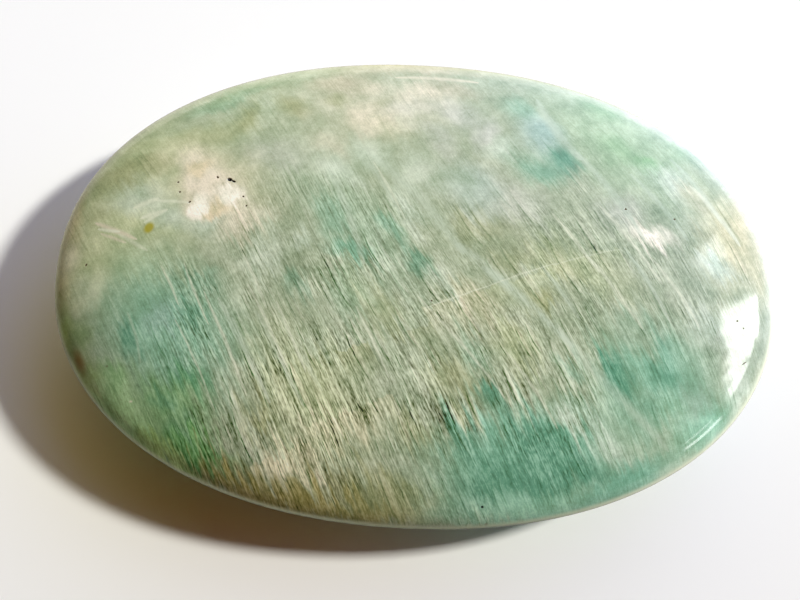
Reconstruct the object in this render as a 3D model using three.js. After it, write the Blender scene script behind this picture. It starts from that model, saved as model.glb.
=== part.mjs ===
// A palm stone: one flattened, polished oval of green feldspar, in millimetres with +Z up.
// It lies on a small flat spot, and the origin is the middle of that spot.
// The long axis of the oval runs along X and the short one along Y.

import * as THREE from "three";
import { mergeVertices } from "three/addons/utils/BufferGeometryUtils.js";

// Driving dimensions
const LENGTH = 70;
const WIDTH = 48.2;
const THICKNESS = 14;

// The rim, the widest ring of the stone, lies a little above mid height.
const RIM_HEIGHT = 7.2;

// Fullness of a curve: 2 is a true ellipse, and a larger number is squarer.
const OUTLINE_FULLNESS = 2.15;
const CROWN_FULLNESS = 2.36;
const BELLY_FULLNESS = 2.1;

// The flat resting spot, as a share of the stone's length and width.
const REST_SPOT_SHARE = 0.16;

// Facets around the oval, a multiple of 4 so that both axes end on a corner, and up each side.
const SECTORS = 88;
const CROWN_STEPS = 15;
const BELLY_STEPS = 13;

const QUARTER_TURN = Math.PI / 2;

// A power that keeps the sign of its base.
function signedPower(base, exponent) {
  return Math.sign(base) * Math.abs(base) ** exponent;
}

// One point on a quarter of a full curve, at an angle above the rim: its reach from the axis and its rise,
// both as shares of the whole.
function fullCurvePoint(angle, fullness) {
  const reach = Math.max(Math.cos(angle), 0) ** (2 / fullness);
  const rise = Math.sin(angle) ** (2 / fullness);
  return { reach, rise };
}

// The side view of the stone from the middle of the resting spot out to the rim and up to the top of the crown.
// X is the share of the oval's reach, and Y is the height in millimetres.
function sideProfile() {
  const spotAngle = Math.acos(REST_SPOT_SHARE ** (BELLY_FULLNESS / 2));
  // The belly's full curve would go a little deeper than the spot that is ground flat on it.
  const bellyDepth = RIM_HEIGHT / fullCurvePoint(spotAngle, BELLY_FULLNESS).rise;
  const crownHeight = THICKNESS - RIM_HEIGHT;
  const points = [new THREE.Vector2(0, 0)];
  for (let step = 0; step <= BELLY_STEPS; step++) {
    const angle = spotAngle * (1 - step / BELLY_STEPS);
    const { reach, rise } = fullCurvePoint(angle, BELLY_FULLNESS);
    points.push(new THREE.Vector2(reach, RIM_HEIGHT - bellyDepth * rise));
  }
  for (let step = 1; step < CROWN_STEPS; step++) {
    const angle = (QUARTER_TURN * step) / CROWN_STEPS;
    const { reach, rise } = fullCurvePoint(angle, CROWN_FULLNESS);
    points.push(new THREE.Vector2(reach, RIM_HEIGHT + crownHeight * rise));
  }
  points.push(new THREE.Vector2(0, THICKNESS));
  return points;
}

// Spreads a round body of radius 1 into the stone's oval, corner by corner.
function spreadToOval(geometry) {
  const position = geometry.getAttribute("position");
  for (let corner = 0; corner < position.count; corner++) {
    const reach = Math.hypot(position.getX(corner), position.getY(corner));
    if (reach === 0) continue;
    const alongX = signedPower(position.getX(corner) / reach, 2 / OUTLINE_FULLNESS);
    const alongY = signedPower(position.getY(corner) / reach, 2 / OUTLINE_FULLNESS);
    position.setX(corner, (LENGTH / 2) * reach * alongX);
    position.setY(corner, (WIDTH / 2) * reach * alongY);
  }
}

function stoneGeometry() {
  const turned = new THREE.LatheGeometry(sideProfile(), SECTORS);
  turned.rotateX(QUARTER_TURN);
  spreadToOval(turned);
  turned.deleteAttribute("normal");
  turned.deleteAttribute("uv");
  const closed = mergeVertices(turned);
  closed.computeVertexNormals();
  return closed;
}

const polishedFeldspar = new THREE.MeshStandardMaterial({
  color: new THREE.Color("rgb(166, 186, 156)"),
  roughness: 0.14,
  metalness: 0,
});

const stone = new THREE.Mesh(stoneGeometry(), polishedFeldspar);
stone.name = "palm_stone";

const group = new THREE.Group();
group.add(stone);

export default group;
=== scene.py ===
"""A polished palm stone of green and cream feldspar, lying on a pale table."""

import math
from collections import namedtuple

import bpy
from bpy.props import FloatProperty, FloatVectorProperty, PointerProperty
from mathutils import Matrix, Vector


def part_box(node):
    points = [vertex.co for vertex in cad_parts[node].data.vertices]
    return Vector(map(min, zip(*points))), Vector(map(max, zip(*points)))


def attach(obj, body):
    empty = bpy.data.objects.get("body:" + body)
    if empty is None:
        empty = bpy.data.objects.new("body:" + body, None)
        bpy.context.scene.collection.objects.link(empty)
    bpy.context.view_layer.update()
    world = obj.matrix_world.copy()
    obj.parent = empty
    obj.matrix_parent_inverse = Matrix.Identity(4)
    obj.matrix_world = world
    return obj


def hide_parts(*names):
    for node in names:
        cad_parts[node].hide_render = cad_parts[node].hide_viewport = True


bl_info = {
    "name": "Palm Stone",
    "version": (1, 0, 0),
    "blender": (4, 5, 0),
    "location": "View3D > Sidebar > Palm Stone",
    "description": "Makes a polished oval palm stone and the table and light around it",
    "category": "Add Mesh",
}

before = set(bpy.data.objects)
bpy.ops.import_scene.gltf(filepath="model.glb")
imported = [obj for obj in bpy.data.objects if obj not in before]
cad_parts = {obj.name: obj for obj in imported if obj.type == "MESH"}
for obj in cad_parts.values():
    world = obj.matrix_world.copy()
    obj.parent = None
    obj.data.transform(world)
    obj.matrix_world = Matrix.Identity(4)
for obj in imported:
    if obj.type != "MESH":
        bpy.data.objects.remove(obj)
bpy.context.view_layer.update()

NODE = "palm_stone"
STONE_LOW, STONE_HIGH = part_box(NODE)

MM = 0.001
QUARTER_TURN = math.pi / 2

# Height of the rim, the widest ring of the stone, in millimetres.
RIM_HEIGHT = 7.2

# Points whose heights differ by less than this, in metres, are in one ring.
SAME_HEIGHT = 1e-6
# What a shader divides by is at least this.
SMALLEST_DIVISOR = 1e-6

# How finely the stone's mesh is divided: around the oval, and from the rim up and down.
SECTORS = 192
CROWN_RINGS = 60
BELLY_RINGS = 44

# Pits in the polish, in millimetres and degrees. The colour that darkens the inside of a pit is one of the
# palette below.
Pit = namedtuple("Pit", "x y half_length half_width turn depth colour under", defaults=("umber", False))
PITS = tuple(Pit(*row) for row in (
    (-18.2, 7.15, 0.32, 0.22, -20, 0.22, "soot"),
    (-17.8, 6.95, 0.30, 0.13, -25, 0.14, "soot"),
    (-19.4, 7.4, 0.20, 0.14, -60, 0.10),
    (-22.9, 5.8, 0.15, 0.12, 0, 0.08),
    (-23.2, 6.9, 0.14, 0.11, 0, 0.07),
    (-21.8, 4.7, 0.17, 0.13, 30, 0.09),
    (-16.7, 5.3, 0.14, 0.12, 0, 0.07),
    (-16.3, 4.3, 0.15, 0.11, 40, 0.07),
    (-31.2, -1.5, 0.20, 0.13, 60, 0.07),
    (19.7, 6.1, 0.16, 0.12, 0, 0.08),
    (24.5, 5.6, 0.14, 0.12, 0, 0.06),
    (1.5, -4.6, 0.13, 0.10, 0, 0.06),
    (6.8, -22.4, 0.16, 0.13, 0, 0.07, "soot"),
    (30.3, -4.0, 0.14, 0.10, 20, 0.07),
    (30.9, -4.6, 0.10, 0.08, 0, 0.06),
    (30.9, -7.9, 0.42, 0.06, 40, 0.05),
    (-12.0, 9.0, 0.24, 0.14, 35, 0.12, "umber", True),
    (14.5, -6.5, 0.18, 0.14, -30, 0.10, "umber", True),
    (-4.0, -15.0, 0.15, 0.12, 0, 0.07, "soot", True),
))
# Within this margin of a pit, in millimetres, each edge of the mesh is cut this many times.
PIT_MARGIN = 0.5
PIT_CUTS = 20
# The share of a pit that is wholly darkened.
PIT_DARK_CORE = 0.5

# Directions in the plane of the table, from +X: the streaks run down to the right, and the cleavage, along
# which the stone's tone changes, rises to the right.
STREAK_TURN = math.radians(59.5)
STREAK_DIRECTION = Vector((math.cos(STREAK_TURN), -math.sin(STREAK_TURN), 0))
CLEAVAGE_TURN = math.radians(21.5)

# Under the rim the whole pattern leans over by the square of the depth, so that the underside has markings of
# its own.
UNDERSIDE_LEAN = Vector((0.23, -0.15, 0.1))
# What is on one side of the stone fades out this near to the rim, in millimetres.
SIDE_BLUR = 0.1

# How places are pulled about before a pattern is looked up: the span of the swirls and how far they pull, in
# millimetres, and their detail.
FRAY = (1.6, 0.16, 1)
STREAK_BEND = (26, 4, 0)
CLOUD_DRIFT = (5, 3.5, 4)

# Soft clouds of colour in the body, laid over each other in this order, in millimetres and degrees. A cloud
# is whole inside its core, as a share of its half length and half width, and gone at its edge.
Cloud = namedtuple("Cloud", "colour x y half_length half_width turn strength core", defaults=(0.1,))
CLOUDS = tuple(Cloud(*row) for row in (
    # The pale yellow green left end
    ("straw", -29, 4, 15, 13, 75, 0.9),
    ("straw", -24, 12, 14, 6, 30, 0.45),
    ("honey", -33.8, 3, 2, 8, 3, 0.6),
    ("olive", -29, 7.8, 5, 3, 25, 0.9),
    ("olive", -25.8, 9.2, 2.8, 2.4, 0, 0.85),
    ("sand", -26.5, 11.8, 5, 1.4, 20, 0.5),
    ("olive", -31, 13.5, 7, 2.2, 48, 0.9, 0.4),
    ("milk", -27, 5.5, 4.5, 2.6, 10, 0.8),
    ("straw", -26, 2.3, 4.5, 1.6, -10, 0.6),
    ("honey", -34, -3, 1.8, 3.5, 8, 0.5),
    ("straw", -27.5, -1.5, 6, 3, -20, 0.6),
    # The rim at the top left, green behind and olive further in
    ("sage", -20, 16.5, 9, 3.5, 25, 1.0, 0.3),
    ("teal", -20, 17, 6, 2, 20, 0.35),
    ("sage", -15, 20, 9, 2.2, 14, 0.7),
    ("teal", -18.5, 18, 6, 1.8, 25, 0.35),
    ("olive", -18.5, 18.2, 6, 1.6, 25, 0.35),
    ("olive", -21, 12.5, 7, 2, 20, 0.55),
    ("olive", -16.8, 14.5, 2.8, 2, 20, 0.75),
    ("olive", -12.6, 15.6, 2.4, 1.9, -30, 0.85),
    ("sage", -13.2, 12.6, 2.2, 2, -40, 0.7),
    ("lilac", -14, 10, 6, 3, 0, 0.5),
    ("milk", -15.2, 15.5, 1.4, 3, 0, 0.4),
    # The beige and milky top
    ("blush", -5, 17, 12, 6, 5, 0.5),
    ("buff", -8, 19.4, 5, 3, 10, 0.8),
    ("olive", -8.5, 16.8, 2, 1.4, 0, 0.6),
    ("blush", -5, 14.8, 4.4, 3, 30, 0.95, 0.3),
    ("olive", -3.8, 17, 2, 1.4, 30, 0.5),
    ("blush", 0.3, 18, 4, 3.4, -20, 0.8),
    ("buff", -1, 22, 12, 1.8, 0, 0.9),
    ("blush", -5.4, 19.2, 2.4, 1.4, 0, 0.6),
    ("cream", -3.2, 13.3, 3, 2, -30, 0.45),
    ("honey", -5, 23.4, 9, 1.4, 2, 0.6),
    ("blush", -2.5, 15.2, 9, 5, -5, 0.25),
    ("lilac", 3.5, 15.5, 4, 3, -30, 0.8),
    ("lilac", -1, 16.4, 5, 2.4, 0, 0.4),
    ("blush", -8.6, 11.3, 3.2, 2, -20, 0.35),
    ("buff", 3, 19.3, 4, 2, -5, 0.6),
    ("lilac", 6.3, 13.3, 2, 3, 0, 0.95),
    ("lilac", 1.5, 12.3, 4, 2, -30, 0.6),
    ("milk", 8.2, 11.8, 2.6, 2, 30, 0.9),
    ("milk", -4.9, 10.3, 3.6, 2.2, -30, 0.7),
    # The mint top right with its blue parts
    ("mint", 20, 14, 15, 9, -35, 0.85),
    ("sage", 7.5, 20.5, 6, 2, -8, 0.7),
    ("teal", 9.5, 17, 3, 2.2, -30, 0.5),
    ("sky", 11.5, 14, 4.5, 3, -45, 0.9),
    ("teal", 11.5, 9.8, 4.5, 2.6, -20, 0.5),
    ("pine", 11.8, 9.7, 3, 1.8, -20, 0.45),
    ("pine", 14, 10.8, 3.2, 1.9, -35, 0.9, 0.2),
    ("sage", 15.5, 8.3, 3.5, 2.4, -40, 0.8),
    ("lilac", 10, 6, 4, 3, -30, 0.4),
    ("leaf", 19.5, 12.8, 4, 2.2, -30, 0.35),
    ("leaf", 22.3, 11.6, 2, 1.8, 0, 0.7, 0.2),
    ("leaf", 27, 15, 3.5, 4, -40, 0.3),
    ("leaf", 18, 18.2, 4, 2, -30, 0.35),
    ("milk", 25, 9.3, 5.5, 2.6, -25, 0.9),
    # The grey sage right and the cream right end
    ("sand", 30.5, 4, 6, 12, 10, 0.75),
    ("lilac", 19, 5.5, 3.5, 3, -30, 0.6),
    ("olive", 28, 4.5, 3.2, 1.6, 25, 0.5),
    ("cream", 26.6, 8.2, 3, 2, -30, 0.6),
    ("olive", 31.8, 8, 2, 2.8, 0, 0.3),
    ("honey", 32.4, 4.5, 2.2, 9, 6, 0.7),
    ("cream", 32, 4, 3.4, 9, 6, 0.6),
    ("olive", 29.6, 4.2, 1.8, 1.4, 0, 0.4),
    ("milk", 26.8, -5, 3, 3, -30, 0.65),
    ("white", 22.2, 3.3, 3.6, 1.6, -8, 0.85),
    ("cream", 29.5, 4.5, 5, 8, 0, 0.5),
    ("honey", 30.5, 5.5, 3.5, 6, 0, 0.3),
    ("olive", 30.4, 6.2, 2.4, 0.9, -55, 0.55),
    ("milk", 28.3, 1.0, 3.2, 2.0, 0, 0.9),
    ("milk", 31, -10.6, 3.2, 3.6, 0, 0.95),
    ("sand", 17, -1, 7, 3, -30, 0.4),
    ("lilac", 6.5, 6.5, 9, 5, -30, 0.45),
    # The olive middle under the long cleavage line
    ("olive", 6, 2.8, 5, 2.2, 0, 0.5),
    ("olive", 8.8, 0.6, 3.6, 2.6, 10, 0.6),
    ("sand", 13, 0.2, 4, 2, -20, 0.6),
    ("sage", 8, 1.5, 3, 2, 0, 0.5),
    ("olive", 11.4, -3.7, 2.6, 2, -40, 0.9, 0.2),
    ("cream", 5.4, -4.6, 4, 3, -35, 0.55),
    ("sand", 9.3, -8.2, 3, 4.2, 40, 0.7),
    # The teal knots left of the middle with their milky bands
    ("teal", -6, 3, 12, 5, -48, 0.25),
    ("sky", 4.8, 7.3, 4.5, 3.6, -50, 0.5),
    ("milk", 3.5, 8, 4, 3, -50, 0.4),
    ("milk", 0, 8.5, 4.5, 3, -50, 0.5),
    ("milk", -7.5, 8.7, 3.8, 2, -40, 0.75),
    ("teal", -8.3, 3.3, 3.4, 2.4, -70, 0.4),
    ("teal", -6.2, -0.4, 3.6, 1.8, -20, 0.75),
    ("milk", -1.2, 4.6, 3.8, 1.7, -60, 0.8),
    ("teal", -2.5, 2.2, 3, 1.4, -45, 0.55),
    ("pine", 0.3, -0.9, 2.8, 1.6, -50, 0.7, 0.2),
    ("milk", -10.9, 0.9, 2, 1.6, -50, 0.6),
    ("milk", 2.4, -2.6, 2.4, 2, -50, 0.45),
    ("sage", -11, -2.8, 3.8, 3, -50, 0.6),
    ("pine", -10.6, -3.6, 2.6, 1.9, -50, 0.5),
    ("milk", -14, -1, 3, 3, -50, 0.45),
    # The white patch with its milky halo
    ("cream", -20, 7, 9, 6, -30, 0.75, 0.2),
    ("milk", -23.5, 3.6, 4, 2.6, -20, 0.8),
    ("blush", -17, 2.8, 4, 2.6, 0, 0.65),
    ("blush", -21.8, 9, 3.2, 2.6, 30, 0.8),
    ("milk", -19.5, 2.4, 3, 2, 0, 0.75),
    ("blush", -20, 6.3, 4.8, 3.6, -40, 1.0, 0.35),
    ("peach", -21.3, 8.4, 2.2, 1.4, 20, 0.8, 0.3),
    ("peach", -18.6, 4.0, 2.0, 1.5, 0, 0.8, 0.3),
    ("white", -17.6, 5.6, 2.2, 1.4, -20, 1.0, 0.35),
    ("white", -20.4, 4.4, 1.3, 2.0, -10, 1.0, 0.4),
    # The teal lower left and its green rim
    ("teal", -23, -8, 12, 9, -40, 0.8),
    ("straw", -31.8, -3, 4, 4, 0, 0.9, 0.3),
    ("cream", -34, 0.5, 2.6, 7, 0, 0.75),
    ("wisp", -33.6, -0.8, 2.2, 3, 0, 0.45),
    ("milk", -31, -4, 3, 3, 0, 0.45),
    ("olive", -30.5, 3.6, 2.4, 1.6, 0, 0.4),
    ("pine", -20, -3.4, 3.2, 1.5, 10, 0.4),
    ("sky", -23, -7, 3, 2.4, 0, 0.45),
    ("pine", -20.5, -6.6, 2.6, 1.3, 20, 0.55),
    ("pine", -25.8, -9, 1.8, 2.6, 10, 0.85),
    ("leaf", -22, -15.5, 7, 4.5, -30, 0.75),
    ("pine", -20, -12.4, 3, 2, -20, 0.95),
    ("pine", -22.2, -14.8, 1.8, 1.8, 0, 0.5),
    ("leaf", -20, -13, 3, 2.4, 0, 0.4),
    ("mint", -25.5, -13.8, 5, 2, -52, 0.5),
    ("jade", -26, -14.5, 5, 2, -52, 0.55),
    ("leaf", -18.8, -18.8, 5, 2.2, -15, 1.0, 0.3),
    ("pine", -20.5, -17, 2.6, 2, 0, 0.35),
    ("jade", -26.5, -16.4, 11, 2.4, -40, 0.95, 0.2),
    ("lime", -21.5, -19.8, 7, 1.4, -30, 0.8, 0.2),
    ("lime", -30, -12.6, 2.2, 3.2, 40, 0.5),
    ("lime", -32.6, -8.6, 1.6, 5, 20, 0.8),
    ("leaf", -27.5, -12.4, 2.4, 1.8, -50, 0.55),
    ("olive", -31, -8.8, 1.8, 3.4, 25, 0.5),
    ("leaf", -31, -8.8, 1.8, 3.4, 25, 0.35),
    # The cream lower middle
    ("sand", -9, -13.5, 11, 6.5, -50, 0.75),
    ("milk", -9.2, -9.2, 3.2, 2.4, -40, 0.35),
    ("olive", -13, -16, 3.4, 1.8, -20, 0.85),
    ("sand", -3, -6, 3, 2.8, -40, 0.5),
    ("cream", -10, -19.3, 3.6, 2, 15, 0.85),
    ("cream", -6, -16.6, 5, 2, 15, 0.5),
    ("olive", -15.5, -20.3, 4.5, 1.6, -22, 1.0, 0.3),
    ("olive", -5, -22.5, 12, 3.2, 0, 0.95, 0.4),
    ("umber", -14.8, -20.8, 2.6, 1.2, -25, 0.35),
    ("bronze", -8, -23.3, 11, 1.6, -2, 0.75, 0.2),
    ("bronze", -16, -21.3, 5, 1.6, -24, 0.85, 0.3),
    ("bronze", -11, -22, 5.5, 1.6, -8, 0.85, 0.4),
    ("umber", -6, -21.1, 3.2, 1.5, 0, 0.22),
    ("sage", 1, -13, 4, 3, -50, 0.4),
    ("olive", 4, -11, 4.5, 3.2, -50, 0.55),
    ("teal", -5.5, -4.4, 3.5, 2.6, -50, 0.4),
    ("olive", -5, -4, 3.5, 2.6, -50, 0.35),
    ("olive", 3, -11.5, 4, 3, -50, 0.4),
    ("olive", 0.5, -16.3, 4, 2.4, -40, 0.65),
    ("sage", 2.8, -8.8, 3, 2.4, -50, 0.6),
    ("teal", 5.5, -9, 2.6, 1.8, -40, 0.3),
    ("pine", 6.1, -10.4, 2, 1.4, -50, 0.35),
    ("teal", 5, -22.5, 5, 2, 8, 0.5),
    # The teal bottom right
    ("teal", 11, -18, 13, 6.5, 10, 0.95, 0.3),
    ("pine", 9, -20, 8, 4.2, 5, 0.8, 0.2),
    ("pine", 7.4, -13.4, 3.2, 1.5, -30, 0.9),
    ("pine", 12, -17, 5.5, 3, -20, 0.85),
    ("pine", 4.8, -17, 2.2, 2.8, 0, 0.7),
    ("pine", 16.2, -18.6, 3.4, 1.8, -10, 0.7),
    ("aqua", 11.5, -22.6, 9, 2.3, 12, 0.85, 0.2),
    ("milk", 14.3, -15.2, 3.6, 1.6, -45, 0.85, 0.2),
    # The pale bands and teal knots at the lower right
    ("teal", 22, -9.5, 9, 6, -25, 0.85),
    ("pine", 18.4, -10.4, 3.4, 1.8, -55, 1.0, 0.25),
    ("pine", 22.8, -10, 2.4, 1.8, -30, 0.6),
    ("pine", 21.5, -13, 2.4, 1.2, -40, 0.5),
    ("sky", 27, -13.5, 5, 3, -40, 0.35),
    ("sage", 16, -5, 6, 3, -45, 0.6),
    ("milk", 17.5, -16, 7, 1.6, -35, 0.55),
    ("teal", 20.5, -14, 7, 2.4, -42, 0.5),
    ("sage", 20.6, -7.2, 3, 2.4, -40, 0.6),
    ("teal", 19.5, -19.2, 5, 2.2, 30, 0.7),
    ("aqua", 27, -14.6, 6, 3, 48, 0.85, 0.2),
    ("aqua", 23.5, -13.3, 3, 2, -40, 0.5),
    ("teal", 14.7, -10.3, 2.4, 1.6, -45, 0.45),
    ("teal", 19.6, -20.1, 7, 2.2, 29, 0.9, 0.35),
    ("pine", 22.8, -7.8, 1.8, 1.4, -40, 0.45),
))

# How strongly the streaks mark the stone: a base and what each zone adds to it.
StreakZone = namedtuple("StreakZone", "x y half_length half_width turn gain")
STREAK_BASE = 0.09
STREAK_ZONE_CORE = 0.1
STREAK_ZONES = (
    StreakZone(-8, -14.5, 28, 18, 0, 0.68),
    StreakZone(16, -3, 26, 17, 0, 0.36),
    StreakZone(-8, 2, 15, 9, 0, 0.32),
    StreakZone(12, -17, 14, 8, 0, 0.22),
    StreakZone(-20, -4, 8, 6, 0, 0.2),
)

# The streaks are weaker and stronger in patches. The step is where in the noise a patch begins and is whole,
# and the gain is what it adds and the least.
STREAK_PATCH_SPAN = 4.5
STREAK_PATCH_STEP = (0.35, 0.65)
STREAK_PATCH_GAIN = (0.6, 0.65)

# The layers of streaks, in millimetres along the streaks, across them and upwards. Gain is how strongly each
# marks the stone, and shift makes its pattern its own.
StreakLayer = namedtuple("StreakLayer", "along across upright shift detail gain")
FINE_STREAKS = (
    StreakLayer(0.5, 0.11, 0.5, 50, 0.0, 1.9),
    StreakLayer(3.2, 0.14, 2.0, 100, 0.0, 1.8),
    StreakLayer(8.0, 0.26, 4.0, 200, 0.0, 1.1),
)
BROAD_STREAKS = (StreakLayer(9.0, 0.9, 5.0, 150, 2.0, 1.0),)

# Streaks that comb the clouds. The gain is how far they pull them along the streaks, in millimetres.
COMB = StreakLayer(5.0, 0.5, 3.0, 30, 2.0, 16.0)

# Pale bands with a dark slit along one side, one in each cell. A cell's sizes are in millimetres along the
# streaks, across them and upwards, and a band's are shares of the cell. It is whole inside its core.
BandLayer = namedtuple("BandLayer", "along across upright smallest largest slit pale dark")
BAND_CORE = 0.75
BAND_LAYERS = (
    BandLayer(9.0, 0.95, 6.0, 0.05, 0.42, 0.13, 0.55, 0.85),
    BandLayer(5.0, 0.5, 4.0, 0.08, 0.4, 0.18, 0.4, 0.7),
)

# The mottle has no direction. Each layer is given by its size in millimetres and its gain.
FINE_MOTTLE = ((0.7, 0.4), (0.16, 0.4))
BROAD_MOTTLE = ((2.4, 0.75),)
MOTTLE_ROUGHNESS = 0.6

# How a mark of strength 1 brightens the body's red, green and blue, the limits of the marked colour, and how
# far such a mark turns it towards the palette's wisp.
FINE_TINT = Vector((1.0, 0.94, 1.09))
BROAD_TINT = Vector((1.12, 0.88, 1.15))
DARKEST = (0.02, 0.02, 0.02)
PALEST = (0.95, 0.95, 0.95)
WISP_SHARE = 0.3

# Painted glow: the thin rim lets light through, and this light is painted into the colour as a paler line
# along the rim where its surface turns out of sight. The heights above the table, in millimetres, are where
# it begins and is whole, from above and from below. The facing is 0 where the surface is seen straight on and
# 1 at its edge.
PAINTED_RIM_GLOW_STRENGTH = 0.85
PAINTED_RIM_GLOW_FROM_ABOVE = (9.8, 8.4)
PAINTED_RIM_GLOW_FROM_BELOW = (4.6, 6.0)
PAINTED_RIM_GLOW_FACING = (0.45, 0.8)

# Thin pale veins and dark slits, each from a first point to a second one. Bow is how far the middle stands
# off the straight line. The taper is the power by which the width falls towards the ends. Veins fray into the
# streaks: a mark of strength 1 adds the first number to a vein's share, and the second is its share without.
Vein = namedtuple("Vein", "colour start end bow width strength")
VEIN_TAPER = 0.4
VEIN_FRAY = (0.8, 0.9)
VEINS = tuple(Vein(*row) for row in (
    ("milk", (-4.6, 10.2), (4.4, 0.2), 0.4, 1.1, 0.5),
    ("milk", (3.6, 1.2), (9.0, -3.2), 0.2, 0.8, 0.45),
    ("milk", (6.0, -1.0), (14.5, -8.2), 0.3, 0.9, 0.6),
    ("milk", (13.0, -6.6), (23.6, -16.6), -0.3, 0.9, 0.4),
    ("milk", (-8.8, 8.5), (-4.8, -1.4), 0.3, 0.6, 0.5),
    ("milk", (-6.2, 10.4), (-2.4, 5.4), 0.3, 0.6, 0.45),
    ("milk", (11.4, 18.6), (15.6, 11.2), -0.5, 0.9, 0.6),
    ("milk", (15.0, 12.2), (21.4, 3.0), 0.3, 0.7, 0.5),
    ("wisp", (12.6, 5.0), (17.0, -0.8), 0.1, 0.35, 0.5),
    ("wisp", (16.0, 0.8), (21.0, -6.0), 0.1, 0.4, 0.5),
    ("milk", (11.6, -0.6), (15.2, -5.6), 0.1, 0.4, 0.5),
    ("wisp", (17.2, 6.2), (20.8, 1.8), 0.1, 0.35, 0.5),
    ("wisp", (20.2, 2.6), (23.0, -1.4), 0.0, 0.3, 0.5),
    ("milk", (19.4, 2.0), (23.6, -5.0), 0.2, 0.4, 0.5),
    ("wisp", (22.2, 1.0), (26.4, -5.2), 0.2, 0.35, 0.5),
    ("milk", (20.4, 10.2), (25.8, 3.4), 0.2, 0.5, 0.4),
    ("milk", (24.6, 12.8), (29.4, 6.0), 0.3, 0.5, 0.4),
    ("wisp", (26.4, 9.8), (31.2, 3.8), 0.2, 0.5, 0.6),
    ("wisp", (0.2, -4.2), (8.4, -13.2), 0.2, 0.25, 0.5),
    ("milk", (-18.0, -5.0), (-12.4, -14.6), 0.1, 0.5, 0.5),
    ("milk", (-14.4, -6.2), (-9.4, -14.8), 0.0, 0.5, 0.4),
    ("blush", (-3.0, 20.5), (5.6, 20.4), 0.2, 0.5, 0.75),
    ("blush", (-31.0, 2.9), (-26.4, 0.8), 0.0, 0.45, 0.9),
    ("wisp", (-30.6, 2.2), (-28.2, 1.7), 0.0, 0.3, 0.9),
    ("blush", (-30.2, 1.7), (-27.4, 0.5), 0.0, 0.3, 0.7),
    ("wisp", (-28.4, 1.5), (-25.2, -0.4), 0.0, 0.35, 0.5),
    ("wisp", (-27.3, 4.2), (-24.9, 5.2), 0.0, 0.45, 0.7),
    ("wisp", (-26.4, 3.0), (-23.8, 3.9), 0.0, 0.5, 0.8),
    ("wisp", (-26.0, 2.5), (-24.6, 3.4), 0.0, 0.3, 0.7),
    ("wisp", (-25.4, 5.0), (-21.6, 4.6), 0.0, 0.3, 0.6),
    ("wisp", (-21.9, -7.0), (-17.4, -15.4), 0.2, 0.18, 0.45),
    ("wisp", (-19.4, -4.4), (-14.6, -14.0), 0.1, 0.26, 0.6),
    ("wisp", (-21.6, -1.6), (-18.6, -7.6), -0.1, 0.2, 0.55),
    ("wisp", (-23.8, -1.8), (-21.6, -5.8), 0.1, 0.2, 0.5),
    ("wisp", (-26.4, -6.4), (-24.6, -11.2), 0.2, 0.25, 0.2),
    ("wisp", (-17.0, 1.0), (-13.4, -6.0), 0.1, 0.3, 0.45),
    ("wisp", (-15.4, -3.6), (-11.2, -11.4), 0.1, 0.24, 0.5),
    ("wisp", (-12.6, -5.2), (-9.4, -11.8), 0.0, 0.22, 0.5),
    ("wisp", (-5.4, -5.4), (-2.0, -12.0), 0.1, 0.24, 0.45),
    ("wisp", (8.4, -9.0), (13.2, -15.6), 0.2, 0.25, 0.5),
    ("wisp", (-4.6, 9.6), (-1.2, 3.4), 0.1, 0.22, 0.45),
    ("wisp", (0.7, -5.4), (6.5, -2.9), 0.0, 0.15, 0.5),
    ("wisp", (6.2, -3.1), (12.9, -0.2), 0.1, 0.15, 0.4),
    ("wisp", (12.6, -0.4), (19.0, 1.8), 0.1, 0.14, 0.3),
    ("slit", (-5.9, 1.1), (-3.4, -3.1), 0.1, 0.16, 0.5),
    ("slit", (-7.0, 2.8), (-6.4, 1.6), 0.0, 0.14, 0.5),
    ("slit", (-3.5, 6.2), (-2.3, 4.1), 0.0, 0.15, 0.5),
    ("slit", (-21.8, -6.3), (-19.9, -8.3), 0.1, 0.16, 0.6),
    ("slit", (-20.1, -5.7), (-19.2, -7.3), 0.0, 0.16, 0.6),
    ("slit", (13.9, -9.6), (15.6, -12.9), 0.1, 0.2, 0.35),
))

# Bundles of streaks that end at the cleavage in a straight line, given by its left end and its length. The
# tone is strongest at the line and fades along the streaks within its reach. The blurs are how soft the line
# and the bundle's sides are, and the jags how far the comb pulls the streaks' ends, in millimetres.
CleavageStep = namedtuple("CleavageStep", "colour x y length reach strength")
CLEAVAGE_LINE_BLUR = 0.06
CLEAVAGE_SIDE_BLUR = 0.05
CLEAVAGE_JAGS = 1.5
CLEAVAGE_STEPS = tuple(CleavageStep(*row) for row in (
    ("cream", 0.7, -5.4, 5.9, 4.5, 0.35),
    ("sand", 6.3, -3.1, 6.6, 4, 0.4),
    ("sand", 12.6, -0.4, 6.6, 5, 0.3),
    ("olive", -6.9, -9.8, 3.0, 4.0, 0.6),
    ("olive", -0.6, -7.6, 2.4, 3.0, 0.35),
    ("cream", -14.0, -20.0, 2.2, 3.5, 0.6),
    ("cream", -12.2, -19.7, 2.0, 4.0, 0.6),
    ("cream", -10.8, -18.5, 2.2, 4.5, 0.6),
    ("cream", -9.2, -16.6, 3.2, 3.5, 0.4),
    ("cream", -6.3, -15.4, 2.4, 4.0, 0.45),
    ("cream", -4.2, -14.5, 2.8, 3.0, 0.4),
))

# Small marks in the body: the yellow spot, the rust stain at the left rim and a few specks.
SPOTS = (
    Cloud("amber", -25.4, 2.0, 0.75, 0.6, 60, 0.9, 0.45),
    Cloud("rust", -30.8, -10.7, 1.9, 0.8, -62, 0.75),
    Cloud("white", -25.3, -14.5, 0.25, 0.15, 0, 0.7, 0.2),
    Cloud("umber", -27.9, -11.3, 0.2, 0.15, 0, 0.6, 0.2),
    Cloud("umber", 7.3, -23.6, 0.2, 0.15, 0, 0.6, 0.2),
)

# Refractive index of feldspar.
STONE_IOR = 1.53
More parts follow.
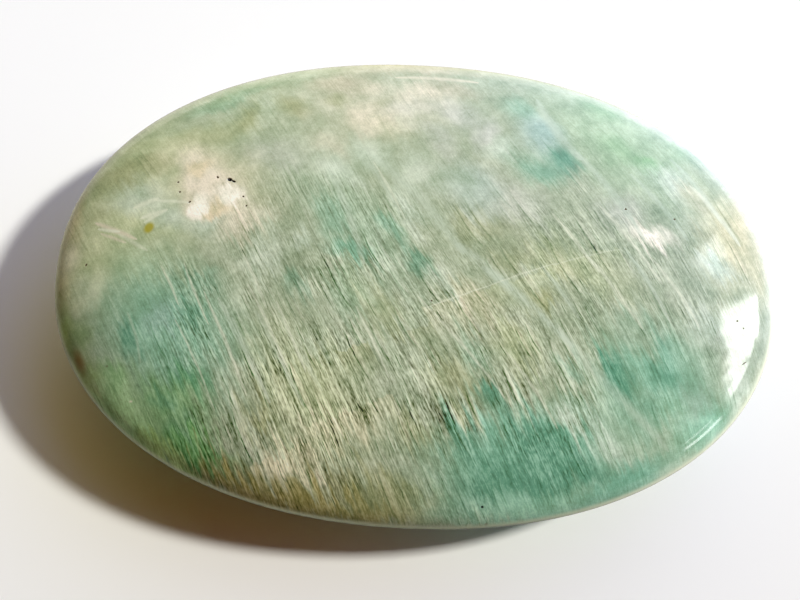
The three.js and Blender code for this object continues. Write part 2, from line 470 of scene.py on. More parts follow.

# The table lies a hair under the stone. Painted light: its colour is lighter towards the back, between the
# two depths, standing in for light that falls off towards the front.
TABLE_SIZE = 4
TABLE_GAP = 0.05 * MM
TABLE_PAINTED_LIGHT_DEPTHS = (-40 * MM, 30 * MM)
TABLE_SHADED_NEAR = (0.84, 0.825, 0.805, 1)
TABLE_LIT_FAR = (0.95, 0.94, 0.93, 1)
TABLE_ROUGHNESS = 0.45

# The place that the camera looks at, beside the middle of the stone at the height of its rim.
CAMERA_TARGET = (-1.36 * MM, -2.05 * MM)
SENSOR_WIDTH = 36
CLIP_START = 10 * MM

# The soft lights around the stone, in degrees and metres: azimuth from +X towards +Y, elevation above the
# table, and wide and high, the angles that a light takes up as seen from the stone. The key light alone
# lights the stone and the table, and the others are seen in the polish.
Softbox = namedtuple(
    "Softbox", "name azimuth elevation distance wide high roll radiance colour lights_table",
    defaults=((1.0, 0.99, 0.98), False))
SOFTBOXES = (
    Softbox("key_light", 11.5, 41.8, 2.5, 5.5, 5.5, 0, 400, (0.99, 1.0, 0.93), True),
    Softbox("window_left", 16.9, 28, 0.8, 5.8, 27, 0, 12),
    Softbox("window_middle", 11.5, 26, 0.8, 6, 27, 0, 12),
    Softbox("window_right", 5.5, 27, 0.8, 6, 20, 0, 11),
    Softbox("window_corner", -1.5, 25.5, 0.8, 6.5, 17, -8, 9),
    Softbox("window_end", -7.8, 22, 0.8, 5.5, 9, -18, 8),
    Softbox("side_pane", 33.5, 37, 0.8, 5, 10, 8, 5, (0.95, 1.0, 1.0)),
    Softbox("low_strip", -26, 9, 0.8, 13, 6, 0, 8, (1.0, 1.0, 1.0)),
    Softbox("thin_strip", -26, 19, 0.8, 10, 2, 0, 6, (1.0, 1.0, 1.0)),
)

# The glow of the room around. Each glow is strongest in its own direction and gone where the cosine of the
# angle to it has fallen to its edge. The low ones stand in for the table in the polish: they begin at the
# horizon and are whole this far below it.
Glow = namedtuple("Glow", "direction colour edge low", defaults=(False,))
LOW_GLOW_DEPTH = -0.06
ROOM_GLOWS = (
    Glow(Vector((0, 1, 0.2)), (1.12, 1.17, 0.62), 0.5),
    Glow(Vector((0.7, 0.7, 0.2)), (0.52, 0.85, 2.25), 0.5),
    Glow(Vector((0, 0, 1)), (0.2, 0.076, 0.002), 0.5),
    Glow(Vector((1, 0.15, -0.2)), (1.3, 1.2, 1.1), 0.2, True),
    Glow(Vector((0, 1, -0.2)), (0.9, 0.8, 0.75), 0.2, True),
)


def palette_colour(name, description, default):
    return FloatVectorProperty(
        name=name, description=description, default=default, subtype="COLOR", min=0, max=1)


class StoneShape(bpy.types.PropertyGroup):
    """The sizes of the oval and how full its curves are."""

    length: FloatProperty(
        name="Length", description="Long axis of the oval",
        default=STONE_HIGH.x - STONE_LOW.x, unit="LENGTH")
    width: FloatProperty(
        name="Width", description="Short axis of the oval",
        default=STONE_HIGH.y - STONE_LOW.y, unit="LENGTH")
    thickness: FloatProperty(
        name="Thickness", description="Height of the crown above the table",
        default=STONE_HIGH.z - STONE_LOW.z, unit="LENGTH")
    rim_height: FloatProperty(
        name="Rim height", description="Height of the widest ring above the table",
        default=RIM_HEIGHT * MM, unit="LENGTH")
    outline_fullness: FloatProperty(
        name="Outline fullness", description="2 is an ellipse, more is squarer", default=2.15)
    crown_fullness: FloatProperty(
        name="Crown fullness", description="2 is an ellipse, more is squarer", default=2.36)
    belly_fullness: FloatProperty(
        name="Belly fullness", description="2 is an ellipse, more is squarer", default=2.1)
    rest_spot_share: FloatProperty(
        name="Resting spot", description="Flat spot under the stone, as a share of its length and width",
        default=0.16, subtype="FACTOR")


class FeldsparLook(bpy.types.PropertyGroup):
    """The palette of the stone and its polish."""

    sage: palette_colour("Sage", "Body colour under all the clouds", (0.36, 0.42, 0.28))
    teal: palette_colour("Teal", "Blue green clouds", (0.20, 0.435, 0.295))
    aqua: palette_colour("Aqua", "Blue green of the lower right rim", (0.28, 0.54, 0.37))
    pine: palette_colour("Pine", "Darkest blue green knots", (0.10, 0.285, 0.175))
    leaf: palette_colour("Leaf", "Pure green near the lower left rim", (0.15, 0.36, 0.12))
    mint: palette_colour("Mint", "Pale green of the top right", (0.37, 0.50, 0.30))
    sky: palette_colour("Sky", "Pale blue part of the top right", (0.35, 0.49, 0.42))
    lilac: palette_colour("Lilac", "Greyish parts", (0.51, 0.53, 0.44))
    milk: palette_colour("Milk", "Pale green white haze", (0.54, 0.62, 0.48))
    straw: palette_colour("Straw", "Yellow green of the left end", (0.52, 0.57, 0.33))
    lime: palette_colour("Lime", "Yellow green of the left rim", (0.46, 0.66, 0.24))
    jade: palette_colour("Jade", "Bright green of the lower left rim", (0.40, 0.68, 0.32))
    honey: palette_colour("Honey", "Yellow brown of the rims", (0.54, 0.49, 0.20))
    olive: palette_colour("Olive", "Brownish green shades", (0.30, 0.33, 0.16))
    bronze: palette_colour("Bronze", "Brown of the bottom rim", (0.35, 0.31, 0.10))
    buff: palette_colour("Buff", "Brownish beige of the top rim", (0.46, 0.42, 0.29))
    sand: palette_colour("Sand", "Beige parts", (0.445, 0.485, 0.27))
    cream: palette_colour("Cream", "Pale beige parts", (0.62, 0.59, 0.39))
    blush: palette_colour("Blush", "Pinkish white of the patch", (0.74, 0.67, 0.51))
    peach: palette_colour("Peach", "Warmest part of the patch", (0.78, 0.66, 0.44))
    white: palette_colour("White", "Whitest part of the patch", (0.93, 0.87, 0.72))
    amber: palette_colour("Amber", "The yellow spot", (0.38, 0.34, 0.03))
    rust: palette_colour("Rust", "The stain at the left rim", (0.27, 0.16, 0.04))
    # Umber also darkens the inside of the small pits.
    umber: palette_colour("Umber", "Dirt in the small pits", (0.12, 0.09, 0.05))
    # This near black darkens the inside of the deep pits.
    soot: palette_colour("Soot", "Dirt in the deep pits", (0.01, 0.01, 0.012))
    wisp: palette_colour("Wisp", "Pale hairs in the body", (0.76, 0.78, 0.60))
    # Painted glow: the colour in which the light through the rim is painted.
    glow: palette_colour("Glow", "Pale line along the rim", (0.78, 0.84, 0.60))
    slit: palette_colour("Slit", "Shade that darkens the body in the dark hairs", (0.26, 0.38, 0.26))
    roughness: FloatProperty(
        name="Roughness", description="How dull the polish is", default=0.1, min=0, max=1,
        subtype="FACTOR")


class StudioShape(bpy.types.PropertyGroup):
    """The camera."""

    camera_elevation: FloatProperty(
        name="Camera elevation", description="How far above the table's plane the camera looks from",
        default=math.radians(68.74), subtype="ANGLE")
    camera_roll: FloatProperty(
        name="Camera roll", description="Turn of the camera about its own line of sight",
        default=math.radians(2.82), subtype="ANGLE")
    camera_distance: FloatProperty(
        name="Camera distance", description="From the camera to the point it looks at",
        default=107.35 * MM, unit="LENGTH")
    lens: FloatProperty(
        name="Lens", description="Focal length in millimetres on a 36 mm wide sensor", default=49.5)


def deselect_all():
    """Leaves nothing selected, so that an operator acts on the new piece alone."""
    for item in bpy.context.selected_objects:
        item.select_set(False)


def full_curve_point(angle, fullness):
    """Reach and rise of one point on a quarter of a full curve, as shares of the whole."""
    reach = max(math.cos(angle), 0.0) ** (2 / fullness)
    rise = math.sin(angle) ** (2 / fullness)
    return reach, rise


def signed_power(base, exponent):
    """A power that keeps the sign of its base."""
    return math.copysign(abs(base) ** exponent, base)


def oval_rise(shape, x, y, fullness):
    """Rise of the smooth surface over a place in the oval, as a share of the whole rise."""
    outline = shape.outline_fullness
    reach = abs(x / (shape.length / 2)) ** outline + abs(y / (shape.width / 2)) ** outline
    return max(1 - reach ** (fullness / outline), 0.0) ** (1 / fullness)


def belly_depth(shape):
    """Depth that the belly's full curve would have if no resting spot were ground flat on it, and the angle
    along the curve at which the spot begins."""
    spot_angle = math.acos(shape.rest_spot_share ** (shape.belly_fullness / 2))
    return shape.rim_height / full_curve_point(spot_angle, shape.belly_fullness)[1], spot_angle


def surface_height(shape, x, y, under):
    """Height of the smooth crown, or of the smooth belly, at a place in the oval."""
    if under:
        rise = oval_rise(shape, x, y, shape.belly_fullness)
        return max(shape.rim_height - belly_depth(shape)[0] * rise, 0.0)
    rise = oval_rise(shape, x, y, shape.crown_fullness)
    return shape.rim_height + (shape.thickness - shape.rim_height) * rise


def extrude_ring(rise, scale):
    """Extrudes the selected ring by a rise and then scales it in the plane of the table."""
    bpy.ops.mesh.extrude_region_move(TRANSFORM_OT_translate={"value": (0, 0, rise)})
    bpy.ops.transform.resize(value=(scale, scale, 1), center_override=(0, 0, 0))


def select_rim(mesh, height):
    """Selects the ring of points at one height, from object mode."""
    for point in mesh.vertices:
        point.select = abs(point.co.z - height) < SAME_HEIGHT
    for edge in mesh.edges:
        edge.select = all(mesh.vertices[i].select for i in edge.vertices)
    for face in mesh.polygons:
        face.select = False


def model_stone_body(shape):
    """Models the stone from its rim: the oval ring is extruded up to the crown and down to the flat spot."""
    deselect_all()
    bpy.ops.mesh.primitive_circle_add(
        vertices=SECTORS, radius=1, fill_type="NOTHING", location=(0, 0, shape.rim_height))
    bpy.ops.object.transform_apply(location=True)
    body = bpy.context.object
    body.name = body.data.name = "polished_stone"
    for point in body.data.vertices:
        point.co.x = shape.length / 2 * signed_power(point.co.x, 2 / shape.outline_fullness)
        point.co.y = shape.width / 2 * signed_power(point.co.y, 2 / shape.outline_fullness)

    bpy.ops.object.mode_set(mode="EDIT")
    bpy.ops.mesh.select_mode(type="EDGE")
    bpy.ops.mesh.select_all(action="SELECT")
    crown = shape.thickness - shape.rim_height
    last_reach, last_rise = 1.0, 0.0
    for ring in range(1, CROWN_RINGS):
        reach, rise = full_curve_point(QUARTER_TURN * ring / CROWN_RINGS, shape.crown_fullness)
        extrude_ring(crown * (rise - last_rise), reach / last_reach)
        last_reach, last_rise = reach, rise
    extrude_ring(crown * (1 - last_rise), 1)
    bpy.ops.mesh.merge(type="CENTER")

    bpy.ops.object.mode_set(mode="OBJECT")
    select_rim(body.data, shape.rim_height)
    bpy.ops.object.mode_set(mode="EDIT")
    depth, spot_angle = belly_depth(shape)
    last_reach, last_rise = 1.0, 0.0
    for ring in range(1, BELLY_RINGS + 1):
        reach, rise = full_curve_point(spot_angle * ring / BELLY_RINGS, shape.belly_fullness)
        extrude_ring(-depth * (rise - last_rise), reach / last_reach)
        last_reach, last_rise = reach, rise
    bpy.ops.mesh.edge_face_add()
    bpy.ops.mesh.poke()
    bpy.ops.mesh.select_all(action="SELECT")
    bpy.ops.mesh.normals_make_consistent(inside=False)
    bpy.ops.object.mode_set(mode="OBJECT")
    return body


def pit_distance(pit, x, y):
    """Distance from a pit's middle in millimetres, and as a share of the pit's own half sizes."""
    across, upward = x / MM - pit.x, y / MM - pit.y
    turn = math.radians(-pit.turn)
    along = across * math.cos(turn) - upward * math.sin(turn)
    aside = across * math.sin(turn) + upward * math.cos(turn)
    return math.hypot(across, upward), math.hypot(along / pit.half_length, aside / pit.half_width)


def near_a_pit(pits, x, y, under):
    """Whether a place lies in a pit or close by it."""
    return any(
        pit_distance(pit, x, y)[0] < max(pit.half_length, pit.half_width) + PIT_MARGIN
        for pit in pits if pit.under == under)


def sunk_depth(pits, x, y, under):
    """How deep the deepest pit is at a place."""
    return max((
        pit.depth * MM * (1 - min(pit_distance(pit, x, y)[1], 1.0) ** 2) ** 2
        for pit in pits if pit.under == under), default=0.0)


def sink_pits(body, shape, pits):
    """Divides the faces around the pits finely, and lays the points on the smooth surface or in the pits."""
    mesh = body.data
    for item in (*mesh.vertices, *mesh.edges):
        item.select = False
    for face in mesh.polygons:
        face.select = near_a_pit(pits, face.center.x, face.center.y, face.center.z < shape.rim_height)
    bpy.ops.object.mode_set(mode="EDIT")
    bpy.ops.mesh.select_mode(type="FACE")
    bpy.ops.mesh.subdivide(number_cuts=PIT_CUTS)
    bpy.ops.object.mode_set(mode="OBJECT")
    for point in mesh.vertices:
        if not point.select:
            continue
        under = point.co.z < shape.rim_height
        sunk = sunk_depth(pits, point.co.x, point.co.y, under)
        point.co.z = surface_height(shape, point.co.x, point.co.y, under) + (sunk if under else -sunk)


class NodeSheet:
    """Lays shader nodes out in one tree. Each method adds one step and returns its output."""

    def __init__(self, tree):
        self.tree = tree

    def node(self, kind, values=None, **settings):
        """Adds a node with its settings, and feeds it values for its inputs, which are given by name."""
        made = self.tree.nodes.new(kind)
        for name, value in settings.items():
            setattr(made, name, value)
        for name, value in (values or {}).items():
            self.feed(made.inputs[name], value)
        return made

    def feed(self, socket, value):
        """Links an output to a socket, or sets the socket to a plain value."""
        if isinstance(value, bpy.types.NodeSocket):
            self.tree.links.new(value, socket)
        else:
            socket.default_value = value

    def worked_out(self, kind, operation, values):
        made = self.node(kind, operation=operation)
        for socket, value in zip(made.inputs, values):
            self.feed(socket, value)
        return made.outputs

    def math(self, operation, *values):
        return self.worked_out("ShaderNodeMath", operation, values)["Value"]

    def product(self, first, *others):
        for other in others:
            first = self.math("MULTIPLY", first, other)
        return first

    def vector(self, operation, *values):
        output = "Value" if operation in ("DOT_PRODUCT", "LENGTH") else "Vector"
        return self.worked_out("ShaderNodeVectorMath", operation, values)[output]

    def scaled(self, vector, factor):
        values = {"Vector": vector, "Scale": factor}
        return self.node("ShaderNodeVectorMath", values, operation="SCALE").outputs["Vector"]

    def turned(self, vector, angle):
        values = {"Vector": vector, "Angle": angle}
        return self.node("ShaderNodeVectorRotate", values, rotation_type="Z_AXIS").outputs["Vector"]

    def parts(self, vector):
        return tuple(self.node("ShaderNodeSeparateXYZ", {"Vector": vector}).outputs)

    def noise(self, vector, detail, roughness=0.5, output="Fac"):
        values = {"Vector": vector, "Scale": 1.0, "Detail": detail, "Roughness": roughness}
        return self.node("ShaderNodeTexNoise", values, noise_dimensions="3D").outputs[output]

    def drift(self, vector, span, reach, detail):
        """Pulls places about softly: span is the size of the swirls and reach how far they pull."""
        swirl = self.noise(self.scaled(vector, 1 / span), detail, output="Color")
        pull = self.scaled(self.vector("SUBTRACT", swirl, (0.5, 0.5, 0.5)), reach)
        return self.vector("ADD", vector, pull)

    def fade(self, value, start, end, whole=1.0):
        """0 at start and whole at end, with a soft step between them. The step needs no clamp of its own, and
        the render's shader would grow too big with one in every cloud."""
        values = {"Value": value, "From Min": start, "From Max": end, "To Max": whole}
        made = self.node("ShaderNodeMapRange", values, interpolation_type="SMOOTHSTEP", clamp=False)
        return made.outputs["Result"]

    def oval_mask(self, position, oval, core, strength=1.0):
        """A soft oval patch, a column through the stone, that is whole inside its core and gone at its edge.
        The node's own mapping lays a round gradient of radius 1 over the patch."""
        made = self.node("ShaderNodeTexGradient", {"Vector": position}, gradient_type="SPHERICAL")
        mapping = made.texture_mapping
        mapping.vector_type = "TEXTURE"
        mapping.mapping_z = "NONE"
        mapping.translation = (oval.x, oval.y, 0)
        mapping.rotation = (0, 0, math.radians(oval.turn))
        mapping.scale = (oval.half_length, oval.half_width, 1)
        return self.fade(made.outputs["Fac"], 0.0, 1 - core, strength)

    def blend(self, amount, first, second, style="MIX"):
        values = {"Factor": amount, "A": first, "B": second}
        return self.node("ShaderNodeMix", values, data_type="RGBA", blend_type=style).outputs["Result"]

    def group(self, tree, values):
        return self.node("ShaderNodeGroup", values, node_tree=tree).outputs[0]


def new_mask_group(name, inputs):
    """Makes an empty node group that puts out a mask. Inputs are given as names and kinds."""
    tree = bpy.data.node_groups.new(name, "ShaderNodeTree")
    for label, kind in inputs.items():
        tree.interface.new_socket(label, in_out="INPUT", socket_type="NodeSocket" + kind)
    tree.interface.new_socket("Mask", in_out="OUTPUT", socket_type="NodeSocketFloat")
    sheet = NodeSheet(tree)
    given = sheet.node("NodeGroupInput").outputs
    mask = sheet.node("NodeGroupOutput").inputs["Mask"]
    return sheet, given, mask


def long_vein_group():
    """A thin bowed line that tapers towards both ends. Turn, scale and shift lay the position over a line of
    length 1 and half width 1 that starts at the origin."""
    sheet, given, mask = new_mask_group("Long vein", {
        "Position": "Vector", "Turn": "Float", "Scale": "Vector", "Shift": "Vector", "Bow": "Float",
        "Strength": "Float"})
    turned = sheet.turned(given["Position"], given["Turn"])
    share, across, _ = sheet.parts(sheet.vector("MULTIPLY_ADD", turned, given["Scale"], given["Shift"]))
    taper = sheet.math("MULTIPLY", share, sheet.math("MULTIPLY_ADD", share, -4.0, 4.0))
    taper = sheet.math("MAXIMUM", taper, SMALLEST_DIVISOR)
    off_line = sheet.math("ABSOLUTE", sheet.math("MULTIPLY_ADD", taper, given["Bow"], across))
    distance = sheet.math("DIVIDE", off_line, sheet.math("POWER", taper, VEIN_TAPER))
    sheet.feed(mask, sheet.fade(distance, 1.0, 0.0, given["Strength"]))
    return sheet.tree


def band_group():
    """Long pale bands, one in each cell of the streak frame, each with a dark slit along one side. Pale is
    above 0 and dark below."""
    sheet, given, mask = new_mask_group("Pale bands", {
        "Position": "Vector", "Smallest": "Float", "Largest": "Float", "Slit": "Float", "Pale": "Float",
        "Dark": "Float"})
    cell = sheet.node("ShaderNodeTexVoronoi", {
        "Vector": given["Position"], "Scale": 1.0, "Randomness": 1.0}, feature="F1", voronoi_dimensions="3D")
    draw = sheet.parts(cell.outputs["Color"])[0]
    span = sheet.math("SUBTRACT", given["Largest"], given["Smallest"])
    size = sheet.math("MULTIPLY_ADD", draw, span, given["Smallest"])
    offset = sheet.vector("SUBTRACT", given["Position"], cell.outputs["Position"])
    beside = sheet.vector("ADD", offset, sheet.scaled((0, 1, 0), given["Slit"]))
    inner = sheet.math("MULTIPLY", size, BAND_CORE)
    pale = sheet.fade(sheet.vector("LENGTH", offset), size, inner)
    dark = sheet.fade(sheet.vector("LENGTH", beside), size, inner)
    bare = sheet.math("SUBTRACT", 1.0, pale)
    tone = sheet.product(dark, bare, given["Dark"])
    sheet.feed(mask, sheet.math("SUBTRACT", sheet.product(pale, given["Pale"]), tone))
    return sheet.tree


def cleavage_step_group():
    """A bundle of streaks that starts sharply at a cleavage line and fades along the streaks."""
    sheet, given, mask = new_mask_group("Cleavage step", {
        "Position": "Vector", "Start": "Vector", "Length": "Float", "Reach": "Float"})
    offset = sheet.vector("SUBTRACT", given["Position"], given["Start"])
    along, across, _ = sheet.parts(sheet.turned(offset, STREAK_TURN))
    lean = CLEAVAGE_TURN + STREAK_TURN
    past_line = sheet.math("MULTIPLY_ADD", across, -math.cos(lean) / math.sin(lean), along)
    wide = sheet.math("MULTIPLY", given["Length"], math.sin(lean))
    left_side = sheet.fade(across, -CLEAVAGE_SIDE_BLUR, CLEAVAGE_SIDE_BLUR)
    right_side = sheet.fade(sheet.math("SUBTRACT", across, wide), CLEAVAGE_SIDE_BLUR, -CLEAVAGE_SIDE_BLUR)
    fading = sheet.fade(past_line, given["Reach"], 0.0)
    line = sheet.fade(past_line, -CLEAVAGE_LINE_BLUR, CLEAVAGE_LINE_BLUR)
    sheet.feed(mask, sheet.product(line, fading, left_side, right_side))
    return sheet.tree


def feldspar_material(look):
    """The stone's own material: clouds of colour, streaks through the body, veins, spots, darker pits, a
    painted glow along the rim, and gloss.
    """
    material = bpy.data.materials.new("green_and_cream_feldspar")
    material.use_nodes = True
    tree = material.node_tree
    sheet = NodeSheet(tree)
    shader = tree.nodes["Principled BSDF"]
    vein_group, step_group, bands = long_vein_group(), cleavage_step_group(), band_group()

    def paint(name):
        return (*getattr(look, name), 1)

    def painted(colour, position, clouds):
        for cloud in clouds:
            mask = sheet.oval_mask(position, cloud, cloud.core, cloud.strength)
            colour = sheet.blend(mask, colour, paint(cloud.colour))
        return colour

    def vein_mask(position, vein):
        run = Vector(vein.end) - Vector(vein.start)
        turn = -math.atan2(run.y, run.x)
        scale = Vector((1 / run.length, 1 / vein.width, 0))
        shift = -(Matrix.Rotation(turn, 3, "Z") @ Vector((*vein.start, 0))) * scale
        return sheet.group(vein_group, {
            "Position": position, "Turn": turn, "Scale": scale, "Shift": shift,
            "Bow": -vein.bow / vein.width, "Strength": vein.strength})

    # Places in the body of the stone, in millimetres
    real_place = sheet.scaled(sheet.node("ShaderNodeTexCoord").outputs["Object"], 1 / MM)
    height = sheet.parts(real_place)[2]
    below = sheet.math("MAXIMUM", sheet.math("SUBTRACT", RIM_HEIGHT, height), 0.0)
    place = sheet.vector("ADD", real_place, sheet.scaled(UNDERSIDE_LEAN, sheet.product(below, below)))

    # The streak frame: X runs along the streaks, which are all but straight, and Y across them
    frayed = sheet.drift(place, *FRAY)
    streaked = sheet.turned(sheet.drift(frayed, *STREAK_BEND), STREAK_TURN)

    def streak_noise(layer):
        shifted = sheet.vector("ADD", streaked, (layer.shift, layer.shift, layer.shift))
        stretch = (1 / layer.along, 1 / layer.across, 1 / layer.upright)
        noise = sheet.noise(sheet.vector("MULTIPLY", shifted, stretch), layer.detail)
        return sheet.math("SUBTRACT", noise, 0.5)

    strength = STREAK_BASE
    for zone in STREAK_ZONES:
        strength = sheet.math("ADD", sheet.oval_mask(place, zone, STREAK_ZONE_CORE, zone.gain), strength)
    patches = sheet.fade(sheet.noise(sheet.scaled(place, 1 / STREAK_PATCH_SPAN), 1), *STREAK_PATCH_STEP)
    strength = sheet.product(strength, sheet.math("MULTIPLY_ADD", patches, *STREAK_PATCH_GAIN))

    # The clouds are looked up where the drift pulls each place, and combed along the streaks
    comb = streak_noise(COMB)
    pull = sheet.scaled(STREAK_DIRECTION, sheet.product(comb, strength, COMB.gain))
    combed = sheet.vector("ADD", sheet.drift(place, *CLOUD_DRIFT), pull)
    colour = painted(paint("sage"), combed, CLOUDS)

    # Bundles of streaks that end at the cleavage, their ends a little out of line
    jags = sheet.scaled(STREAK_DIRECTION, sheet.math("MULTIPLY", comb, CLEAVAGE_JAGS))
    jagged = sheet.vector("ADD", frayed, jags)
    for step in CLEAVAGE_STEPS:
        mask = sheet.group(step_group, {
            "Position": jagged, "Start": (step.x, step.y, 0), "Length": step.length, "Reach": step.reach})
        colour = sheet.blend(sheet.product(mask, step.strength), colour, paint(step.colour))

    # Pale and dark marks: streaks and bands, and a mottle
    def sum_of_marks(streak_layers, band_layers, mottle_layers):
        marks = 0.0
        for layer in streak_layers:
            marks = sheet.math("MULTIPLY_ADD", streak_noise(layer), layer.gain, marks)
        for layer in band_layers:
            cells = sheet.vector("DIVIDE", streaked, (layer.along, layer.across, layer.upright))
            marks = sheet.math("ADD", sheet.group(bands, {
                "Position": cells, "Smallest": layer.smallest, "Largest": layer.largest,
                "Slit": layer.slit, "Pale": layer.pale, "Dark": layer.dark}), marks)
        marks = sheet.product(marks, strength)
        for span, gain in mottle_layers:
            noise = sheet.noise(sheet.scaled(place, 1 / span), 1, MOTTLE_ROUGHNESS)
            marks = sheet.math("MULTIPLY_ADD", sheet.math("SUBTRACT", noise, 0.5), gain, marks)
        return marks

    fine_marks = sum_of_marks(FINE_STREAKS, (), FINE_MOTTLE)
    broad_marks = sum_of_marks(BROAD_STREAKS, BAND_LAYERS, BROAD_MOTTLE)
    marks = sheet.math("ADD", fine_marks, broad_marks)
    tint = sheet.vector(
        "ADD", sheet.scaled(FINE_TINT, fine_marks), sheet.scaled(BROAD_TINT, broad_marks))
    colour = sheet.vector("MULTIPLY_ADD", colour, tint, colour)
    colour = sheet.vector("MAXIMUM", sheet.vector("MINIMUM", colour, PALEST), DARKEST)
    colour = sheet.blend(sheet.math("MULTIPLY", marks, WISP_SHARE), colour, paint("wisp"))

    # Veins fray into the streaks
    fray = sheet.math("MAXIMUM", sheet.math("MULTIPLY_ADD", marks, *VEIN_FRAY), 0.0)
    for vein in VEINS:
        mask = sheet.product(vein_mask(frayed, vein), fray)
        style = "MULTIPLY" if vein.colour == "slit" else "MIX"
        colour = sheet.blend(mask, colour, paint(vein.colour), style)

    colour = painted(colour, frayed, SPOTS)

    # Painted glow: the pale line along the rim, where light through the thin rim is painted into the colour
    facing = sheet.node("ShaderNodeLayerWeight").outputs["Facing"]
    line = sheet.product(
        sheet.fade(height, *PAINTED_RIM_GLOW_FROM_ABOVE), sheet.fade(height, *PAINTED_RIM_GLOW_FROM_BELOW),
        sheet.fade(facing, *PAINTED_RIM_GLOW_FACING, PAINTED_RIM_GLOW_STRENGTH))
    colour = sheet.blend(sheet.math("MAXIMUM", line, 0.0), colour, paint("glow"))

    # Darker colour in the pits, on the side that each pit is on
    on_belly = sheet.fade(height, RIM_HEIGHT + SIDE_BLUR, RIM_HEIGHT - SIDE_BLUR)
    on_crown = sheet.math("SUBTRACT", 1.0, on_belly)
    for pit in PITS:
        side = on_belly if pit.under else on_crown
        mask = sheet.product(sheet.oval_mask(real_place, pit, PIT_DARK_CORE), side)
        colour = sheet.blend(mask, colour, paint(pit.colour))

    sheet.feed(shader.inputs["Base Color"], colour)
    shader.inputs["Roughness"].default_value = look.roughness
    shader.inputs["IOR"].default_value = STONE_IOR
    return material


def table_material():
    """A pale surface with painted light: its colour is lighter towards the back."""
    material = bpy.data.materials.new("pale_table")
    material.use_nodes = True
    shader = material.node_tree.nodes["Principled BSDF"]
    sheet = NodeSheet(material.node_tree)
    depth = sheet.parts(sheet.node("ShaderNodeTexCoord").outputs["Object"])[1]
    # Painted light: darker near the front and lighter towards the back.
    colour = sheet.blend(sheet.fade(depth, *TABLE_PAINTED_LIGHT_DEPTHS), TABLE_SHADED_NEAR, TABLE_LIT_FAR)
    sheet.feed(shader.inputs["Base Color"], colour)
    shader.inputs["Roughness"].default_value = TABLE_ROUGHNESS
    return material


def add_softbox(softbox):
    """Adds one rectangular light that looks at the stone from its direction."""
    azimuth, elevation = math.radians(softbox.azimuth), math.radians(softbox.elevation)
    level = math.cos(elevation)
    direction = Vector((level * math.cos(azimuth), level * math.sin(azimuth), math.sin(elevation)))
    bpy.ops.object.light_add(type="AREA", location=direction * softbox.distance)
    light = bpy.context.object
    light.name = light.data.name = softbox.name
    turn = Matrix.Rotation(azimuth + QUARTER_TURN, 4, "Z")
    turn = turn @ Matrix.Rotation(QUARTER_TURN - elevation, 4, "X")
    turn = turn @ Matrix.Rotation(math.radians(softbox.roll), 4, "Z")
    light.matrix_world = Matrix.Translation(direction * softbox.distance) @ turn
    light.data.shape = "RECTANGLE"
    light.data.size = 2 * softbox.distance * math.tan(math.radians(softbox.wide) / 2)
    light.data.size_y = 2 * softbox.distance * math.tan(math.radians(softbox.high) / 2)
    light.data.energy = softbox.radiance * math.pi * light.data.size * light.data.size_y
    light.data.color = softbox.colour
    light.visible_diffuse = softbox.lights_table
    light.visible_glossy = not softbox.lights_table


def light_room(scene):
    """Gives the world its soft glows."""
    world = scene.world or bpy.data.worlds.new("room")
    scene.world = world
    world.use_nodes = True
    sheet = NodeSheet(world.node_tree)
    direction = sheet.node("ShaderNodeTexCoord").outputs["Generated"]
    light = (0, 0, 0)
    for glow in ROOM_GLOWS:
        facing = sheet.vector("DOT_PRODUCT", direction, glow.direction.normalized())
        strength = sheet.fade(facing, glow.edge, 1.0)
        if glow.low:
            strength = sheet.product(strength, sheet.fade(sheet.parts(direction)[2], 0.0, LOW_GLOW_DEPTH))
        light = sheet.vector("ADD", light, sheet.scaled(glow.colour, strength))
    sheet.feed(world.node_tree.nodes["Background"].inputs["Color"], light)


class PALMSTONE_OT_make_stone(bpy.types.Operator):
    """Makes the polished stone in place of the plain solid"""

    bl_idname = "palm_stone.make_stone"
    bl_label = "Make the stone"

    def execute(self, context):
        shape = context.scene.palm_stone_shape
        stone = model_stone_body(shape)
        sink_pits(stone, shape, PITS)
        bpy.ops.object.shade_smooth()
        stone.data.materials.append(feldspar_material(context.scene.palm_stone_look))
        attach(stone, "root")
        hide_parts(NODE)
        return {"FINISHED"}


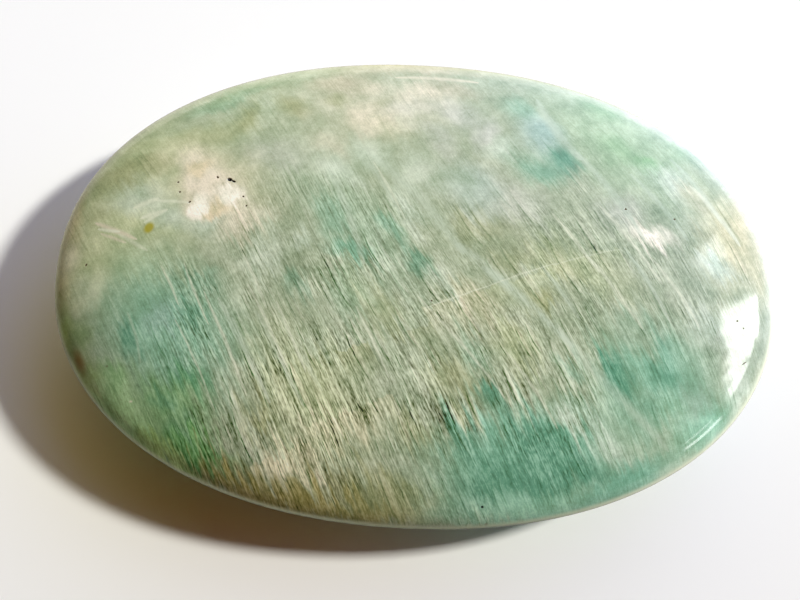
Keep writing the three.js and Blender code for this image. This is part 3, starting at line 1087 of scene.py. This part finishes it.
class PALMSTONE_OT_make_stage(bpy.types.Operator):
    """Makes the pale table, the light and the camera"""

    bl_idname = "palm_stone.make_stage"
    bl_label = "Make the table, light and camera"

    def execute(self, context):
        studio = context.scene.palm_stone_studio
        shape = context.scene.palm_stone_shape
        deselect_all()
        bpy.ops.mesh.primitive_plane_add(size=TABLE_SIZE, location=(0, 0, -TABLE_GAP))
        bpy.ops.object.transform_apply(location=True)
        table = context.object
        table.name = table.data.name = "table_top"
        table.data.materials.append(table_material())
        # The real rim shows hardly any reflection of the table.
        table.visible_glossy = False

        target = Vector((*CAMERA_TARGET, shape.rim_height))
        turn = Matrix.Rotation(QUARTER_TURN - studio.camera_elevation, 4, "X")
        turn = turn @ Matrix.Rotation(studio.camera_roll, 4, "Z")
        place = target + turn.to_3x3() @ Vector((0, 0, studio.camera_distance))
        bpy.ops.object.camera_add()
        camera = context.object
        camera.matrix_world = Matrix.Translation(place) @ turn
        camera.data.lens = studio.lens
        camera.data.sensor_width = SENSOR_WIDTH
        camera.data.clip_start = CLIP_START
        context.scene.camera = camera

        for softbox in SOFTBOXES:
            add_softbox(softbox)

        light_room(context.scene)
        context.scene.view_settings.view_transform = "Standard"
        return {"FINISHED"}


class PALMSTONE_PT_panel(bpy.types.Panel):
    """Lists the stone's operators, sizes and colours"""

    bl_idname = "PALMSTONE_PT_panel"
    bl_label = "Palm Stone"
    bl_space_type = "VIEW_3D"
    bl_region_type = "UI"
    bl_category = "Palm Stone"

    def draw(self, context):
        scene = context.scene
        for group in (scene.palm_stone_shape, scene.palm_stone_look, scene.palm_stone_studio):
            for name in group.bl_rna.properties.keys():
                if name not in ("rna_type", "name"):
                    self.layout.prop(group, name)
        self.layout.operator(PALMSTONE_OT_make_stone.bl_idname)
        self.layout.operator(PALMSTONE_OT_make_stage.bl_idname)


CLASSES = (
    StoneShape, FeldsparLook, StudioShape, PALMSTONE_OT_make_stone, PALMSTONE_OT_make_stage,
    PALMSTONE_PT_panel)


def register():
    for item in CLASSES:
        bpy.utils.register_class(item)
    bpy.types.Scene.palm_stone_shape = PointerProperty(type=StoneShape)
    bpy.types.Scene.palm_stone_look = PointerProperty(type=FeldsparLook)
    bpy.types.Scene.palm_stone_studio = PointerProperty(type=StudioShape)


def unregister():
    del bpy.types.Scene.palm_stone_studio
    del bpy.types.Scene.palm_stone_look
    del bpy.types.Scene.palm_stone_shape
    for item in reversed(CLASSES):
        bpy.utils.unregister_class(item)


def main():
    register()
    bpy.ops.palm_stone.make_stone()
    bpy.ops.palm_stone.make_stage()


if __name__ == "__main__":
    main()
